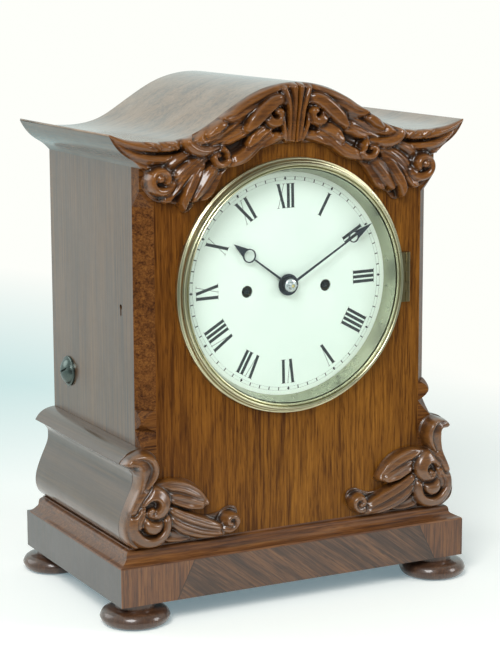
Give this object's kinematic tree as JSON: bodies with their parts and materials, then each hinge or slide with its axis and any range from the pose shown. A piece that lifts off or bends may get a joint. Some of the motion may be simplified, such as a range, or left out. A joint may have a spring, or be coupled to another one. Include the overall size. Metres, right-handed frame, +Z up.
{
  "type": "bracket clock",
  "caption": "Wooden bracket clock with a curved roof, carved crest and brackets, round glazed brass bezel, silvered dial and a two-train fusee movement with pendulum.",
  "frame": {"origin": "on the floor under the middle of the base, bottom centre of the bounding box", "axes": "+X to the right of the dial as seen from the front, +Y to the back of the case, so the dial faces -Y, +Z up"},
  "size_m": [0.383, 0.2554, 0.4849],
  "materials": {
    "case_veneer": "polished dark rosewood veneer with upright grain",
    "carved_wood": "polished carved hardwood, dark red brown",
    "base_veneer": "polished rosewood veneer",
    "inside_wood": "plain oiled oak",
    "bezel_brass": "polished and lacquered",
    "silvered_brass": "silvered, brushed in rings",
    "plate_brass": "brushed and lacquered",
    "wheel_brass": "polished",
    "blued_steel": "polished and blued almost black",
    "steel": "polished",
    "clear_glass": "clear",
    "gut": "twisted gut"
  },
  "bodies": {
    "case": {"bun_feet": "carved_wood", "base_frame": "base_veneer", "plinth_moulding": "carved_wood", "side_panel_left": "case_veneer", "side_panel_right": "case_veneer", "side_skirts": "case_veneer", "front_panel": "case_veneer", "canted_corners": "case_veneer", "roof_board": "case_veneer", "cornice_mouldings": "case_veneer", "crest_carving_left": "carved_wood", "crest_carving_right": "carved_wood", "corner_carving_left": "carved_wood", "corner_carving_right": "carved_wood", "back_frame": "case_veneer", "back_door_hinges": "bezel_brass", "bezel_hinge_plate": "bezel_brass", "case_lock": "plate_brass", "dial_plate": "silvered_brass", "seat_board": "inside_wood", "front_plate": "plate_brass", "back_plate": "plate_brass", "plate_pillars": "plate_brass", "back_cock": "plate_brass", "gong": "blued_steel", "gong_stand": "plate_brass", "gut_lines": "gut"},
    "back_door": {"back_door": "case_veneer", "back_door_glass": "clear_glass", "back_door_hinge_leaves": "bezel_brass"},
    "door_catch": {"back_door_catch": "bezel_brass"},
    "bezel": {"bezel_ring": "bezel_brass", "sight_ring": "silvered_brass", "bezel_glass": "clear_glass", "bezel_hinge_leaf": "bezel_brass", "bezel_catch_eye": "bezel_brass"},
    "lock_bolt": {"lock_bolt": "steel"},
    "minute_hand": {"minute_hand": "blued_steel", "cannon_pinion": "wheel_brass", "hand_collet": "steel"},
    "hour_hand": {"hour_hand": "blued_steel", "hour_wheel": "wheel_brass"},
    "minute_wheel": {"minute_wheel": "wheel_brass"},
    "third_wheel": {"third_wheel": "wheel_brass"},
    "centre_wheel": {"centre_wheel": "wheel_brass"},
    "escape_wheel": {"escape_wheel": "wheel_brass"},
    "going_great_wheel": {"going_great_wheel": "wheel_brass"},
    "going_fusee": {"going_fusee": "wheel_brass"},
    "going_barrel": {"going_barrel": "wheel_brass"},
    "gathering_wheel": {"gathering_wheel": "wheel_brass"},
    "warning_wheel": {"warning_wheel": "wheel_brass"},
    "fly": {"fly": "wheel_brass"},
    "pin_wheel": {"pin_wheel": "wheel_brass"},
    "strike_great_wheel": {"strike_great_wheel": "wheel_brass"},
    "strike_fusee": {"strike_fusee": "wheel_brass"},
    "strike_barrel": {"strike_barrel": "wheel_brass"},
    "anchor": {"anchor": "steel"},
    "pendulum": {"pendulum": "plate_brass"},
    "hammer": {"hammer": "steel"},
    "rack": {"rack": "wheel_brass"}
  },
  "joints": [
    {"name": "bezel_hinge", "type": "hinge", "parent": "case", "child": "bezel", "pos_m": [0.1212, -0.105, 0.298], "axis": [0, 0, 1], "range_deg": [0, 110]},
    {"name": "back_door_hinge", "type": "hinge", "parent": "case", "child": "back_door", "pos_m": [0.126, 0.1105, 0.236], "axis": [0, 0, -1], "range_deg": [0, 115]},
    {"name": "door_catch_turn", "type": "hinge", "parent": "back_door", "child": "door_catch", "pos_m": [-0.1145, 0.108, 0.236], "axis": [0, -1, 0], "range_deg": [0, 90]},
    {"name": "lock_bolt_slide", "type": "slide", "parent": "case", "child": "lock_bolt", "axis": [1, 0, 0], "range_m": [0, 0.006]},
    {"name": "minute_hand_turn", "type": "hinge", "parent": "case", "child": "minute_hand", "pos_m": [0, 0, 0.298], "axis": [0, 1, 0], "continuous": true},
    {"name": "hour_hand_turn", "type": "hinge", "parent": "case", "child": "hour_hand", "pos_m": [0, 0, 0.298], "axis": [0, 1, 0], "continuous": true},
    {"name": "minute_wheel_turn", "type": "hinge", "parent": "case", "child": "minute_wheel", "pos_m": [0.01157, 0, 0.28421], "axis": [0, 1, 0], "continuous": true},
    {"name": "third_wheel_turn", "type": "hinge", "parent": "case", "child": "third_wheel", "pos_m": [0.02291, 0, 0.33079], "axis": [0, 1, 0], "continuous": true},
    {"name": "centre_wheel_turn", "type": "hinge", "parent": "case", "child": "centre_wheel", "pos_m": [0, 0, 0.298], "axis": [0, 1, 0], "continuous": true},
    {"name": "escape_wheel_turn", "type": "hinge", "parent": "case", "child": "escape_wheel", "pos_m": [0, 0, 0.342], "axis": [0, 1, 0], "continuous": true},
    {"name": "going_great_wheel_turn", "type": "hinge", "parent": "case", "child": "going_great_wheel", "pos_m": [0.041, 0, 0.294], "axis": [0, 1, 0], "continuous": true},
    {"name": "going_fusee_winding", "type": "hinge", "parent": "going_great_wheel", "child": "going_fusee", "pos_m": [0.041, 0, 0.294], "axis": [0, 1, 0], "continuous": true},
    {"name": "going_barrel_turn", "type": "hinge", "parent": "case", "child": "going_barrel", "pos_m": [0.048, 0, 0.227], "axis": [0, 1, 0], "continuous": true},
    {"name": "gathering_wheel_turn", "type": "hinge", "parent": "case", "child": "gathering_wheel", "pos_m": [-0.03894, 0, 0.35026], "axis": [0, 1, 0], "continuous": true},
    {"name": "warning_wheel_turn", "type": "hinge", "parent": "case", "child": "warning_wheel", "pos_m": [-0.01982, 0, 0.34858], "axis": [0, 1, 0], "continuous": true},
    {"name": "fly_turn", "type": "hinge", "parent": "case", "child": "fly", "pos_m": [-0.02273, 0, 0.36513], "axis": [0, 1, 0], "continuous": true},
    {"name": "pin_wheel_turn", "type": "hinge", "parent": "case", "child": "pin_wheel", "pos_m": [-0.05064, 0, 0.32999], "axis": [0, 1, 0], "continuous": true},
    {"name": "strike_great_wheel_turn", "type": "hinge", "parent": "case", "child": "strike_great_wheel", "pos_m": [-0.041, 0, 0.294], "axis": [0, 1, 0], "continuous": true},
    {"name": "strike_fusee_winding", "type": "hinge", "parent": "strike_great_wheel", "child": "strike_fusee", "pos_m": [-0.041, 0, 0.294], "axis": [0, 1, 0], "continuous": true},
    {"name": "strike_barrel_turn", "type": "hinge", "parent": "case", "child": "strike_barrel", "pos_m": [-0.048, 0, 0.227], "axis": [0, 1, 0], "continuous": true},
    {"name": "pendulum_swing", "type": "hinge", "parent": "case", "child": "pendulum", "pos_m": [0, 0, 0.364], "axis": [0, 1, 0], "range_deg": [-3, 3]},
    {"name": "anchor_rock", "type": "hinge", "parent": "case", "child": "anchor", "pos_m": [0, 0, 0.364], "axis": [0, 1, 0], "range_deg": [-3, 3]},
    {"name": "hammer_lift", "type": "hinge", "parent": "case", "child": "hammer", "pos_m": [-0.076, 0, 0.332], "axis": [0, 1, 0], "range_deg": [0, 5]},
    {"name": "rack_fall", "type": "hinge", "parent": "case", "child": "rack", "pos_m": [-0.062, 0, 0.276], "axis": [0, -1, 0], "range_deg": [0, 10]}
  ],
  "couplings": [
    {"joint": "hour_hand_turn", "follows": "minute_hand_turn", "ratio": 0.083333},
    {"joint": "minute_wheel_turn", "follows": "minute_hand_turn", "ratio": -1},
    {"joint": "escape_wheel_turn", "follows": "third_wheel_turn", "ratio": -11.143},
    {"joint": "centre_wheel_turn", "follows": "third_wheel_turn", "ratio": -0.083333},
    {"joint": "going_great_wheel_turn", "follows": "third_wheel_turn", "ratio": 0.0069444},
    {"joint": "going_barrel_turn", "follows": "going_fusee_winding", "ratio": 0.60692},
    {"joint": "warning_wheel_turn", "follows": "gathering_wheel_turn", "ratio": -7},
    {"joint": "fly_turn", "follows": "gathering_wheel_turn", "ratio": 42},
    {"joint": "pin_wheel_turn", "follows": "gathering_wheel_turn", "ratio": -0.125},
    {"joint": "strike_great_wheel_turn", "follows": "gathering_wheel_turn", "ratio": 0.011905},
    {"joint": "strike_barrel_turn", "follows": "strike_fusee_winding", "ratio": 0.60692},
    {"joint": "anchor_rock", "follows": "pendulum_swing", "ratio": 1}
  ]
}
